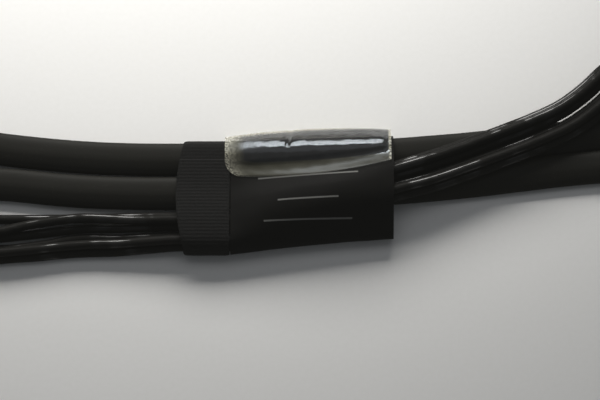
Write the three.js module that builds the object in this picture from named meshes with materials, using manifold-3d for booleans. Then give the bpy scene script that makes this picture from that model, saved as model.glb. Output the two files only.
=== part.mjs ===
// A drive cable harness for a desktop computer, laid out straight on a table, in millimetres.
// Two flat data cables and six power wires run side by side, and one wrapped section holds them together:
// a ribbed woven band, and beside it a smooth label sleeve whose clear tail comes over the far edge.
// Each of the two drive plugs at the left takes one flat cable and three wires. At the right the flat cables
// end in two board plugs, and the wires cross over them to a six-way power plug.
// +X runs along the harness, +Z is up, and z = 0 is the table, under the middle of the wrapped section.
import * as THREE from 'three';
import { mergeVertices } from 'three/addons/utils/BufferGeometryUtils.js';
import Module from 'manifold-3d';

const wasm = await Module();
wasm.setup();

// Cables and wires
const WIRE_DIAMETER = 2.1;
const WIRE_SIDES = 8;
const WIRE_STEP = 5.6;
const FLAT_WIDTH = 7.4;
const FLAT_THICKNESS = 3.2;
const FLAT_ROUNDNESS = 2.6;
const FLAT_SIDES = 12;
const FLAT_STEP = 11;

// Wrapped section
const BAND_START = -24.4;
const BAND_WIDTH = 12.1;
const BAND_WALL = 0.45;
const BAND_BULGE = 1.9;
const RIB_PITCH = 0.78;
const RIB_HEIGHT = 0.25;
const SLEEVE_LENGTH = 36.6;
const SLEEVE_WALL = 0.4;
const SLEEVE_SPANS = 9;
const SLEEVE_CORNERS = 52;
const FILM_THICKNESS = 0.2;
const FILM_OVERLAP = 1.3;
const FILM_INSET = 0.5;
const FILM_CORNER = 4;
const FILM_SPANS = 9;
const FILM_COLUMNS = 25;
const SEAM = 0.2;
const WRAP_MIDDLE = 0.7;

// Drive plugs
const DRIVE_PLUG_WIDTH = 26;
const DRIVE_PLUG_HEIGHT = 5.4;
const DRIVE_BODY_LENGTH = 14;
const DRIVE_CAP_LENGTH = 8;
const DRIVE_CAP_STRAIGHT = 3.6;
const DRIVE_CAP_INSET = 0.9;
const DRIVE_CAP_TAPER = 1.6;
const CONTACT_PITCH = 1.27;
const DATA_WAYS = 7;
const DRIVE_POWER_WAYS = 6;

// Sockets of the drive and board plugs
const SLOT_HEIGHT = 1.3;
const SLOT_MARGIN = 0.9;
const SLOT_DEPTH = 6.5;
const KEY_WIDTH = 1.2;
const KEY_HEIGHT = 1.2;
const CONTACT_WIDTH = 0.6;
const CONTACT_THICKNESS = 0.25;
const CONTACT_LENGTH = 5.6;
const CONTACT_GAP = 0.1;

// Board plugs
const BOARD_PLUG_WIDTH = 11.6;
const BOARD_PLUG_HEIGHT = 5.2;
const BOARD_BODY_LENGTH = 13;
const BOARD_RELIEF_LENGTH = 9;
const BOARD_RELIEF_STRAIGHT = 5;
const BOARD_RELIEF_WIDTH = 9.4;
const RELIEF_INSET = 0.5;
const LATCH_WIDTH = 4.4;
const LATCH_THICKNESS = 0.35;
const LATCH_RISE = 1.3;
const LATCH_FLAT = 3.6;
const LATCH_TOP = [6.7, 10.4];
const LATCH_CLEARANCE = 0.1;

// Power plug
const POWER_PITCH = 4.2;
const POWER_COLUMNS = 3;
const POWER_ROWS = 2;
const POWER_WALL = 1.2;
const POWER_LENGTH = 17.5;
const CAVITY = 3.3;
const TERMINAL = 2.7;
const TERMINAL_WALL = 0.35;
const TERMINAL_INSET = 1.2;
const WIRE_IN_PLUG = 3;
const THUMB_WIDTH = 5.2;
const THUMB_THICKNESS = 1.1;
const THUMB_GAP = 0.9;
const THUMB_ENDS = [2.1, 16.6];
const THUMB_POST = [9.6, 13.1];

// Small roundings
const EDGE = 0.4;
const CORNER = 0.7;
const CORNER_STEPS = 2;
const WELD = 1e-4;

const COLOURS = {
  jacket: 0x26251f,
  wire: 0x1c1b18,
  band: 0x242322,
  sleeve: 0x1f1e1c,
  film: 0xcfccb4,
  plastic: 0x1b1b1c,
  relief: 0x232325,
  contact: 0xc9a24a,
  steel: 0xb4b6b8,
};

// Routes of the two flat cables, from the drive plug to the board plug
const UPPER_CABLE = [
  [-147.7, 26, 2.7], [-138, 26, 2.5], [-126, 25.2, 1.9], [-112, 22.3, 1.65], [-98, 18.2, 1.65], [-84, 14.6, 1.65],
  [-72, 12.2, 1.65], [-63.3, 10.8, 1.65], [-50.5, 9.4, 1.65], [-41.5, 8.75, 1.7], [-32, 8.35, 2.1], [-24, 8.2, 2.55],
  [-12, 8.3, 2.55], [3.5, 8.6, 2.55], [24.4, 9.4, 2.55], [32.7, 10.15, 2.15], [42, 11.1, 1.7], [52, 12.3, 1.65],
  [62, 13.5, 1.65], [71, 14.5, 1.65], [84, 16.1, 1.65], [100, 17.9, 1.65], [118, 18.9, 1.65], [136, 19, 1.8],
  [148, 19, 2.3], [157.7, 19, 2.6],
];
const LOWER_CABLE = [
  [-147.7, -1, 2.7], [-138, -1, 2.5], [-126, -0.9, 1.9], [-112, -0.3, 1.65], [-98, 0.8, 1.65], [-84, 1.9, 1.65],
  [-72, 2.5, 1.65], [-63.3, 2.6, 1.65], [-50.5, 1.35, 1.65], [-41.5, 0.75, 1.7], [-32, 0.4, 2.1], [-24, 0.3, 2.55],
  [-12, 0.4, 2.55], [3.5, 0.7, 2.55], [24.4, 1.5, 2.55], [32.7, 2.3, 2.15], [42, 3.35, 1.7], [52, 4.6, 1.65],
  [62, 5.85, 1.65], [71, 6.7, 1.65], [84, 7.4, 1.65], [100, 7.1, 1.65], [118, 5.7, 1.65], [136, 5, 1.8],
  [148, 5, 2.3], [157.7, 5, 2.6],
];

// Routes of the six power wires, from the drive plugs to the power plug
const WIRES = [
  [
    [-147.7, 15, 2.7], [-139, 15, 2.1], [-130, 15, 1.3], [-120, 14.2, 1.2], [-112, 12.2, 1.7], [-105, 9.3, 3.2],
    [-98, 5.5, 4.4], [-91, 1.6, 4.45], [-84, -1.8, 4.3], [-77, -4.2, 1.9], [-70, -5.2, 1.15], [-64, -5.35, 1.1],
    [-57, -5.35, 1.1], [-50.5, -5.3, 1.1], [-44.5, -5.15, 1.1], [-38, -5.05, 1.2], [-31, -5, 1.7], [-24.4, -5, 2.1],
    [-17, -5, 2.15], [-12, -4.75, 2.6], [-6, -3.5, 4.75], [0, -1.9, 5.3], [8, 0.45, 5.3], [16, 3, 5.3],
    [24.4, 5.9, 5.3], [31, 8.1, 5], [37.9, 10.5, 4.6], [47.8, 14.3, 4.45], [55.7, 17.5, 4.45], [62, 20.6, 4.4],
    [67.2, 24.5, 4.3], [71, 28.2, 4.1], [76.5, 33, 3.3], [83, 36.3, 2.2], [91, 37.7, 1.3], [100, 37.6, 1.1],
    [112, 37, 1.3], [123, 36.4, 2.2], [135.5, 36.2, 2.7],
  ],
  [
    [-147.7, 12.7, 2.7], [-139, 12.7, 2.1], [-130, 12.7, 1.3], [-120, 11.8, 1.2], [-112, 9.8, 1.9], [-105, 6.7, 3.7],
    [-98, 2.7, 4.45], [-91, -1.2, 4.3], [-84, -4.7, 2.1], [-77, -6.9, 1.6], [-70, -7.9, 2.65], [-64, -8.7, 3.2],
    [-60.4, -7.8, 2.95], [-56, -6.9, 2.95], [-51.2, -6.2, 3.2], [-46, -5.65, 3.4], [-40.8, -5.75, 3.4], [-35, -6.1, 3.5],
    [-24.4, -6.15, 4], [-17, -6.2, 4], [-12, -6.1, 4.45], [-6, -5.45, 5.9], [0, -3.6, 6.85], [8, -0.8, 7.25],
    [16, 1.85, 7.25], [24.4, 4.75, 7.25], [31.4, 7, 6.95], [38.3, 9.45, 6.5], [48.2, 13.25, 6.35], [56.2, 16.45, 6.35],
    [62.6, 19.6, 6.3], [67.9, 23.6, 6.2], [71.8, 27.4, 6], [77.3, 32.1, 5.2], [83.6, 35.3, 4.1], [91.2, 36.55, 3.2],
    [100, 36.5, 3.05], [111, 36.5, 3.9], [123, 36.3, 6.1], [135.5, 36.2, 6.9],
  ],
  [
    [-147.7, 10.4, 2.7], [-139, 10.4, 2.1], [-130, 10.35, 1.3], [-120, 9.4, 1.4], [-112, 7.2, 2.8], [-105, 3.6, 4.4],
    [-98, -0.7, 4.55], [-94.5, -2.9, 3.85], [-91, -4.8, 2.1], [-84, -7.6, 1.2], [-77, -9.2, 1.1], [-70, -9.8, 1.1],
    [-64, -9.7, 1.1], [-60, -9.3, 1.1], [-55.5, -8.8, 1.1], [-50, -8.1, 1.1], [-44.5, -7.5, 1.1], [-38.5, -7.5, 1.2],
    [-31, -7.4, 1.7], [-24.4, -7.3, 2.1], [-12, -7.1, 2.1], [-6, -5.9, 2.4], [0, -4.2, 3.9], [8, -1.9, 5.3],
    [16, 0.65, 5.3], [24.4, 3.55, 5.3], [31.7, 5.85, 5], [38.7, 8.35, 4.6], [48.6, 12.15, 4.45], [56.6, 15.4, 4.45],
    [63.1, 18.6, 4.4], [68.7, 22.8, 4.3], [72.6, 26.6, 4.1], [78.1, 31.1, 3.3], [84.2, 34.1, 2.2], [91.4, 35.35, 1.3],
    [100, 35.3, 1.1], [112, 34.3, 1.3], [123, 32.5, 2.2], [135.5, 32, 2.7],
  ],
  [
    [-147.7, -11.5, 2.7], [-138, -11.5, 2.1], [-126, -11.5, 1.2], [-110, -11.5, 1.1], [-94, -11.8, 1.1],
    [-82, -12.4, 1.1], [-72, -12.7, 1.1], [-64, -12.4, 1.1], [-60, -12.05, 1.1], [-53.2, -11.1, 1.1],
    [-49.4, -10.4, 1.1], [-44.7, -9.8, 1.1], [-38.1, -9.95, 1.2], [-31, -9.75, 1.7], [-24.4, -9.6, 2.1],
    [-17, -9.6, 2.1], [-12, -9.4, 2.1], [-6, -8.25, 2.1], [0, -6.6, 2.1], [8, -4.25, 4], [16, -1.7, 5.25],
    [24.4, 1.2, 5.3], [32.5, 3.55, 5], [39.5, 6.1, 4.6], [49.5, 9.95, 4.45], [57.6, 13.2, 4.45], [64.3, 16.5, 4.4],
    [70.2, 20.9, 4.3], [74.2, 24.8, 4.1], [79.8, 29.3, 3.3], [85.5, 32, 2.2], [91.8, 33.05, 1.3], [100, 33, 1.15],
    [111, 32.2, 2.8], [123, 32, 5.8], [135.5, 32, 6.9],
  ],
  [
    [-147.7, -13.8, 2.7], [-138, -13.8, 2.1], [-126, -13.8, 1.2], [-110, -13.85, 1.1], [-94, -14.2, 1.15],
    [-82, -14.5, 1.8], [-72, -14.3, 2.8], [-64, -13.6, 3.05], [-56, -12.8, 2.95], [-49, -12, 2.8], [-43, -11.6, 2.85],
    [-37, -11.5, 3.05], [-31, -11.1, 3.55], [-24.4, -10.8, 3.98], [-17, -10.8, 3.98], [-12, -10.6, 3.98],
    [-6, -9.4, 4.05], [0, -7.8, 4.1], [8, -5.7, 5.8], [16, -3.2, 7], [24.4, -0.1, 7.3], [32.9, 2.3, 6.9],
    [39.9, 4.85, 6.45], [50, 8.7, 6.3], [58.2, 12, 6.3], [65, 15.3, 6.25], [71.1, 19.9, 6.15], [75.2, 23.9, 5.95],
    [80.5, 28.3, 5.15], [86, 30.95, 4.05], [92, 31.9, 3.2], [100, 31.8, 3.05], [111, 30.2, 4.1], [123, 28.6, 6.2],
    [135.5, 27.8, 6.9],
  ],
  [
    [-147.7, -16.1, 2.7], [-138, -16.1, 2.1], [-126, -16.1, 1.2], [-110, -16.2, 1.1], [-94, -16.6, 1.1],
    [-82, -16.7, 1.1], [-72, -15.9, 1.1], [-64, -14.7, 1.1], [-55.5, -14.05, 1.1], [-46.7, -13.2, 1.1],
    [-38, -12.95, 1.2], [-31, -12.5, 1.7], [-24.4, -12, 2.1], [-17, -12, 2.1], [-12, -11.8, 2.1], [-6, -10.6, 2.1],
    [0, -9, 2.1], [8, -6.8, 2.1], [16, -4.3, 4.5], [24.4, -1.35, 5.2], [33.3, 1, 5], [40.4, 3.55, 4.6],
    [50.5, 7.4, 4.45], [58.7, 10.7, 4.45], [65.7, 14.1, 4.4], [72, 18.8, 4.3], [76.1, 22.8, 4.1], [81.3, 27.2, 3.3],
    [86.6, 29.7, 2.2], [92.2, 30.7, 1.3], [100, 30.6, 1.1], [112, 29.4, 1.3], [123, 28.1, 2.2], [135.5, 27.8, 2.7],
  ],
];

// The inside of the wrap around the cables, as [y, z] from the far side over the top, at three places along it
const WRAP_STATIONS = [-12, 6, 24.4];
const WRAP_OUTLINES = [
  [
    [12.2, 2.5], [11.3, 4.1], [7, 4.5], [1.5, 4.7], [-3.2, 5.4], [-7.5, 5.75], [-11.6, 5.2], [-13.6, 3],
    [-12.7, 0.95], [-7, 0.7], [0, 0.7], [7, 0.7], [11.4, 0.92],
  ],
  [
    [12.75, 2.5], [11.9, 4.3], [8.6, 5.3], [4, 7.1], [0, 8.75], [-3.8, 8.6], [-8.2, 6], [-11.4, 2.9],
    [-10.5, 1], [-6, 0.7], [0.5, 0.7], [7.5, 0.7], [12, 0.92],
  ],
  [
    [13.35, 2.5], [12.6, 4.4], [9.8, 6.3], [5.8, 8.45], [1.8, 8.8], [-1.6, 8.3], [-6.4, 5.2], [-9.9, 2.7],
    [-9, 1], [-5, 0.7], [1, 0.7], [8, 0.7], [12.6, 0.95],
  ],
];

// The clear tail of the label, from under the far edge over the top to its free edge, at the same places
const FILM_OUTLINES = [
  [[11.5, 0.15], [13.2, 0.32], [14, 1.6], [14.1, 3], [13.2, 4.7], [10.5, 5.45], [7, 5.4], [4.9, 5.45], [3.4, 5.6]],
  [[11.8, 0.15], [14.1, 0.35], [15.3, 1.8], [15.5, 3.5], [14.4, 5.4], [11.8, 6.1], [9.2, 6.25], [6.6, 7], [3.6, 8.25]],
  [[12, 0.15], [14.2, 0.35], [15.1, 1.8], [15.2, 3.5], [14.4, 5.3], [12.9, 6.2], [11.2, 6.85], [9, 7.95], [6.6, 9.25]],
];

// Sizes that follow from the ones above
const BAND_END = BAND_START + BAND_WIDTH;
const SLEEVE_START = BAND_END + SEAM;
const SLEEVE_END = SLEEVE_START + SLEEVE_LENGTH;
const PLUG_GAP = 0.3;
const CONTACT_STEP = CONTACT_THICKNESS + CONTACT_GAP;

function material(colour, roughness, metalness = 0) {
  return new THREE.MeshStandardMaterial({ color: colour, roughness, metalness });
}

function piece(name, geometry, finish) {
  const mesh = new THREE.Mesh(geometry, finish);
  mesh.name = name;
  return mesh;
}

// A route whose section stays level from side to side, so that a flat cable never turns over
class LevelRoute extends THREE.CatmullRomCurve3 {
  computeFrenetFrames(segments) {
    const tangents = [];
    const normals = [];
    const binormals = [];
    for (let i = 0; i <= segments; i += 1) {
      const tangent = this.getTangentAt(i / segments);
      const side = new THREE.Vector3(0, 1, 0).addScaledVector(tangent, -tangent.y).normalize();
      tangents.push(tangent);
      normals.push(side);
      binormals.push(new THREE.Vector3().crossVectors(tangent, side));
    }
    return { tangents, normals, binormals };
  }
}

function routeThrough(points) {
  return new LevelRoute(points.map(([x, y, z]) => new THREE.Vector3(x, y, z)));
}

// A closed section of the given width and height: an ellipse at roundness 2, squarer above it
function ovalShape(width, height, sides, roundness) {
  const corners = [];
  for (let i = 0; i < sides; i += 1) {
    const angle = ((i + 0.5) / sides) * 2 * Math.PI;
    const across = Math.cos(angle);
    const up = Math.sin(angle);
    corners.push(new THREE.Vector2(
      (width / 2) * Math.sign(across) * Math.abs(across) ** (2 / roundness),
      (height / 2) * Math.sign(up) * Math.abs(up) ** (2 / roundness),
    ));
  }
  return new THREE.Shape(corners);
}

function tubeAlong(points, section, step) {
  const route = routeThrough(points);
  const steps = Math.round(route.getLength() / step);
  return new THREE.ExtrudeGeometry(section, { extrudePath: route, steps, bevelEnabled: false });
}

function flatCable(points) {
  const section = ovalShape(FLAT_WIDTH, FLAT_THICKNESS, FLAT_SIDES, FLAT_ROUNDNESS);
  return tubeAlong(points, section, FLAT_STEP);
}

function wire(points) {
  return tubeAlong(points, ovalShape(WIRE_DIAMETER, WIRE_DIAMETER, WIRE_SIDES, 2), WIRE_STEP);
}

// Corners [y, z] of a wrap outline at x, by the parabola through the three stations
function cornersAt(outlines, x) {
  const [a, b, c] = WRAP_STATIONS;
  const weights = [
    ((x - b) * (x - c)) / ((a - b) * (a - c)),
    ((x - a) * (x - c)) / ((b - a) * (b - c)),
    ((x - a) * (x - b)) / ((c - a) * (c - b)),
  ];
  return outlines[0].map((unused, corner) => {
    const point = new THREE.Vector3(0, 0, 0);
    outlines.forEach((outline, station) => {
      const [y, z] = outline[corner];
      point.y += weights[station] * y;
      point.z += weights[station] * z;
    });
    return point;
  });
}

function ringAt(x, count) {
  const curve = new THREE.CatmullRomCurve3(cornersAt(WRAP_OUTLINES, x), true);
  const ring = curve.getSpacedPoints(count).slice(0, count);
  const lowest = BAND_WALL + RIB_HEIGHT;
  ring.forEach((point) => point.set(x, point.y, Math.max(point.z, lowest)));
  return ring;
}

// A thin wall made from rows of points: inner and outer faces, joined round every open edge.
// Its thickness is set off in Y and Z only, so that the ends of a sleeve stay square to X.
function wallFrom(rows, closed, innerDepth, outerDepth) {
  const across = rows[0].length;
  const down = rows.length;
  const at = (row, column) => rows[row][(column + across) % across];
  const normalAt = (row, column) => {
    const before = closed ? column - 1 : Math.max(column - 1, 0);
    const after = closed ? column + 1 : Math.min(column + 1, across - 1);
    const along = at(Math.min(row + 1, down - 1), column).clone().sub(at(Math.max(row - 1, 0), column));
    const round = at(row, after).clone().sub(at(row, before));
    return round.cross(along).setX(0).normalize();
  };
  const vertices = [];
  const push = (row, column, depth) => {
    const point = at(row, column).clone().addScaledVector(normalAt(row, column), depth);
    vertices.push(point.x, point.y, point.z);
  };
  for (let row = 0; row < down; row += 1) {
    for (let column = 0; column < across; column += 1) {
      push(row, column, outerDepth(row, column));
      push(row, column, innerDepth(row, column));
    }
  }
  const outer = (row, column) => 2 * (row * across + ((column + across) % across));
  const inner = (row, column) => outer(row, column) + 1;
  const triangles = [];
  const quad = (a, b, c, d) => triangles.push(a, b, c, a, c, d);
  const columns = closed ? across : across - 1;
  for (let row = 0; row < down - 1; row += 1) {
    for (let column = 0; column < columns; column += 1) {
      quad(outer(row, column), outer(row, column + 1), outer(row + 1, column + 1), outer(row + 1, column));
      quad(inner(row, column), inner(row + 1, column), inner(row + 1, column + 1), inner(row, column + 1));
    }
  }
  for (let column = 0; column < columns; column += 1) {
    quad(outer(0, column), inner(0, column), inner(0, column + 1), outer(0, column + 1));
    const last = down - 1;
    quad(outer(last, column), outer(last, column + 1), inner(last, column + 1), inner(last, column));
  }
  if (!closed) {
    for (let row = 0; row < down - 1; row += 1) {
      const last = across - 1;
      quad(outer(row, 0), outer(row + 1, 0), inner(row + 1, 0), inner(row, 0));
      quad(outer(row, last), inner(row, last), inner(row + 1, last), outer(row + 1, last));
    }
  }
  const geometry = new THREE.BufferGeometry();
  geometry.setAttribute('position', new THREE.Float32BufferAttribute(vertices, 3));
  geometry.setIndex(triangles);
  return facingOut(geometry);
}

// The same closed surface with its faces pointing out, whichever way its rows were listed
function facingOut(geometry) {
  const place = geometry.getAttribute('position');
  const index = geometry.getIndex().array;
  const [a, b, c] = [new THREE.Vector3(), new THREE.Vector3(), new THREE.Vector3()];
  let volume = 0;
  for (let i = 0; i < index.length; i += 3) {
    a.fromBufferAttribute(place, index[i]);
    b.fromBufferAttribute(place, index[i + 1]);
    c.fromBufferAttribute(place, index[i + 2]);
    volume += a.dot(b.cross(c));
  }
  if (volume < 0) {
    geometry.setIndex(Array.from(index).reverse());
  }
  geometry.computeVertexNormals();
  return geometry;
}

// The woven band: a ribbed ring whose ribs run along the cables, with edges that bow out at the middle
function ribbedBand() {
  const measure = new THREE.CatmullRomCurve3(cornersAt(WRAP_OUTLINES, WRAP_STATIONS[0]), true);
  const ribs = Math.round(measure.getLength() / RIB_PITCH);
  const inside = ringAt(WRAP_STATIONS[0], 2 * ribs);
  const middle = (inside[0].y + inside[ribs].y) / 2;
  const halfWidth = Math.abs(inside[0].y - middle);
  const rows = [0, 0.5, 1].map((share) => inside.map((point) => {
    const bow = BAND_BULGE * (1 - ((point.y - middle) / halfWidth) ** 2) * (1 - share);
    return new THREE.Vector3(BAND_START + BAND_BULGE - bow + share * (BAND_WIDTH - BAND_BULGE), point.y, point.z);
  }));
  const crest = (row, column) => BAND_WALL + (column % 2 ? RIB_HEIGHT : 0);
  return wallFrom(rows, true, () => 0, crest);
}

function labelSleeve() {
  const rows = [];
  for (let span = 0; span <= SLEEVE_SPANS; span += 1) {
    rows.push(ringAt(SLEEVE_START + (span / SLEEVE_SPANS) * SLEEVE_LENGTH, SLEEVE_CORNERS));
  }
  return wallFrom(rows, true, () => 0, () => SLEEVE_WALL);
}

// The clear tail: an open sheet whose free corner beside the band is rounded
function clearTail() {
  const start = SLEEVE_START - FILM_OVERLAP;
  const length = SLEEVE_END - FILM_INSET - start;
  const rows = [];
  for (let span = 0; span <= FILM_SPANS; span += 1) {
    const share = span / FILM_SPANS;
    const x = start + share * length;
    const curve = new THREE.CatmullRomCurve3(cornersAt(FILM_OUTLINES, x));
    const edge = curve.getLength();
    const line = curve.getSpacedPoints(FILM_COLUMNS - 1);
    rows.push(line.map((point, column) => {
      const left = Math.min((1 - column / (FILM_COLUMNS - 1)) * edge, FILM_CORNER);
      const cut = FILM_CORNER - Math.sqrt(FILM_CORNER ** 2 - (FILM_CORNER - left) ** 2);
      return point.setX(x + cut * (1 - share));
    }));
  }
  return wallFrom(rows, false, () => -FILM_THICKNESS / 2, () => FILM_THICKNESS / 2);
}

function roundedRectangle(width, height, corner) {
  const points = [];
  for (let quarter = 0; quarter < 4; quarter += 1) {
    const across = (width / 2 - corner) * (quarter === 0 || quarter === 3 ? 1 : -1);
    const up = (height / 2 - corner) * (quarter < 2 ? 1 : -1);
    for (let step = 0; step <= CORNER_STEPS; step += 1) {
      const angle = (quarter + step / CORNER_STEPS) * (Math.PI / 2);
      points.push(new THREE.Vector2(across + corner * Math.cos(angle), up + corner * Math.sin(angle)));
    }
  }
  return new THREE.Shape(points);
}

// A profile drawn in Y and Z, made solid from x = 0 to the given length
function prismAlongX(shape, length, bevel = 0) {
  const geometry = new THREE.ExtrudeGeometry(shape, {
    depth: length - 2 * bevel,
    bevelEnabled: bevel > 0,
    bevelThickness: bevel,
    bevelSize: bevel,
    bevelOffset: -bevel,
    bevelSegments: 1,
  });
  geometry.translate(0, 0, bevel);
  geometry.applyMatrix4(new THREE.Matrix4().set(0, 0, 1, 0, 1, 0, 0, 0, 0, 1, 0, 0, 0, 0, 0, 1));
  return geometry;
}

function boxBetween(low, high) {
  const geometry = new THREE.BoxGeometry(high[0] - low[0], high[1] - low[1], high[2] - low[2]);
  geometry.translate((low[0] + high[0]) / 2, (low[1] + high[1]) / 2, (low[2] + high[2]) / 2);
  return geometry;
}

function solidOf(geometry) {
  const bare = geometry.clone();
  bare.deleteAttribute('normal');
  bare.deleteAttribute('uv');
  const merged = mergeVertices(bare, WELD);
  return new wasm.Manifold(new wasm.Mesh({
    numProp: 3,
    vertProperties: new Float32Array(merged.getAttribute('position').array),
    triVerts: new Uint32Array(merged.getIndex().array),
  }));
}

function geometryOf(solid) {
  const mesh = solid.getMesh();
  const geometry = new THREE.BufferGeometry();
  geometry.setAttribute('position', new THREE.Float32BufferAttribute(mesh.vertProperties, 3));
  geometry.setIndex(Array.from(mesh.triVerts));
  geometry.computeVertexNormals();
  return geometry;
}

function cutFrom(body, cutters) {
  const solid = cutters.reduce((left, cutter) => left.subtract(solidOf(cutter)), solidOf(body));
  return geometryOf(solid);
}

function slotWidth(ways) {
  return (ways - 1) * CONTACT_PITCH + 2 * SLOT_MARGIN;
}

// An L-shaped slot for a blade: the flat part, and the key leg that hangs from its end
function keyedSlot(ways, centre, keySide, faceX, inwards) {
  const half = slotWidth(ways) / 2;
  const [near, far] = [faceX - inwards * EDGE * 2, faceX + inwards * SLOT_DEPTH];
  const [lowX, highX] = [Math.min(near, far), Math.max(near, far)];
  const blade = boxBetween(
    [lowX, centre.y - half, centre.z - SLOT_HEIGHT / 2],
    [highX, centre.y + half, centre.z + SLOT_HEIGHT / 2],
  );
  const keyInner = centre.y + keySide * (half - KEY_WIDTH);
  const keyOuter = centre.y + keySide * half;
  const key = boxBetween(
    [lowX, Math.min(keyInner, keyOuter), centre.z - SLOT_HEIGHT / 2 - KEY_HEIGHT],
    [highX, Math.max(keyInner, keyOuter), centre.z],
  );
  return [blade, key];
}

// Spring contacts in a row on the roof of a slot, joined at the back by the strip that they are cut from
function contactRow(ways, centre, faceX, inwards) {
  const roof = centre.z + SLOT_HEIGHT / 2;
  const [low, high] = [roof - CONTACT_STEP, roof - CONTACT_GAP];
  const far = faceX + inwards * (SLOT_DEPTH - CONTACT_GAP);
  const near = far - inwards * CONTACT_LENGTH;
  const stripEdge = far - inwards * CONTACT_WIDTH;
  const reach = ((ways - 1) * CONTACT_PITCH + CONTACT_WIDTH) / 2;
  const strip = boxBetween(
    [Math.min(far, stripEdge), centre.y - reach, low],
    [Math.max(far, stripEdge), centre.y + reach, high],
  );
  let solid = solidOf(strip);
  for (let way = 0; way < ways; way += 1) {
    const y = centre.y + (way - (ways - 1) / 2) * CONTACT_PITCH;
    const finger = boxBetween(
      [Math.min(near, far), y - CONTACT_WIDTH / 2, low],
      [Math.max(near, far), y + CONTACT_WIDTH / 2, high],
    );
    solid = solid.add(solidOf(finger));
  }
  return geometryOf(solid);
}

// One drive plug: a body with a data slot and a power slot, and a moulded cap that grips the cables behind it
function drivePlug(number, cable, wires) {
  const group = new THREE.Group();
  const cableEnd = new THREE.Vector3(...cable[0]);
  const wireMiddle = wires.reduce((sum, route) => sum + route[0][1], 0) / wires.length;
  const capEnd = cableEnd.x - PLUG_GAP;
  const capStart = capEnd - DRIVE_CAP_LENGTH;
  const bodyEnd = capStart - SEAM;
  const face = bodyEnd - DRIVE_BODY_LENGTH;
  const lastWire = wires[wires.length - 1][0][1];
  const middle = (cableEnd.y + FLAT_WIDTH / 2 + lastWire - WIRE_DIAMETER / 2) / 2;
  const height = cableEnd.z;
  const data = new THREE.Vector3(0, cableEnd.y, height);
  const power = new THREE.Vector3(0, wireMiddle, height);

  const block = prismAlongX(roundedRectangle(DRIVE_PLUG_WIDTH, DRIVE_PLUG_HEIGHT, CORNER), DRIVE_BODY_LENGTH, EDGE);
  block.translate(face, middle, height);
  const body = cutFrom(block, [
    ...keyedSlot(DATA_WAYS, data, 1, face, 1),
    ...keyedSlot(DRIVE_POWER_WAYS, power, -1, face, 1),
  ]);
  group.add(piece(`drive_plug_${number}_body`, body, material(COLOURS.plastic, 0.45)));

  const capWidth = DRIVE_PLUG_WIDTH - 2 * DRIVE_CAP_INSET;
  const capHeight = DRIVE_PLUG_HEIGHT - DRIVE_CAP_INSET;
  const plan = new THREE.Shape();
  plan.moveTo(0, -capWidth / 2);
  plan.lineTo(DRIVE_CAP_STRAIGHT, -capWidth / 2);
  plan.lineTo(DRIVE_CAP_LENGTH, -capWidth / 2 + DRIVE_CAP_TAPER);
  plan.lineTo(DRIVE_CAP_LENGTH, capWidth / 2 - DRIVE_CAP_TAPER);
  plan.lineTo(DRIVE_CAP_STRAIGHT, capWidth / 2);
  plan.lineTo(0, capWidth / 2);
  const cap = new THREE.ExtrudeGeometry(plan, {
    depth: capHeight - 2 * EDGE,
    bevelThickness: EDGE,
    bevelSize: EDGE,
    bevelOffset: -EDGE,
    bevelSegments: 1,
  });
  cap.translate(capStart, middle, height - capHeight / 2 + EDGE);
  group.add(piece(`drive_plug_${number}_cap`, cap, material(COLOURS.relief, 0.6)));

  const metal = material(COLOURS.contact, 0.3, 1);
  const dataRow = contactRow(DATA_WAYS, data, face, 1);
  const powerRow = contactRow(DRIVE_POWER_WAYS, power, face, 1);
  group.add(piece(`drive_plug_${number}_data_contacts`, dataRow, metal));
  group.add(piece(`drive_plug_${number}_power_contacts`, powerRow, metal.clone()));
  return group;
}

// The bent spring on top of a board plug: it rises towards the rear and hooks down at both ends
function latchProfile(length) {
  const rise = LATCH_RISE - LATCH_THICKNESS;
  const lower = [[0, 0], [LATCH_FLAT, 0], [LATCH_TOP[0], rise], [LATCH_TOP[1], rise], [length, LATCH_CLEARANCE]];
  const upper = lower.map(([along, up]) => [along, up + LATCH_THICKNESS]).reverse();
  return new THREE.Shape([...lower, ...upper].map(([along, up]) => new THREE.Vector2(along, up)));
}

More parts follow.
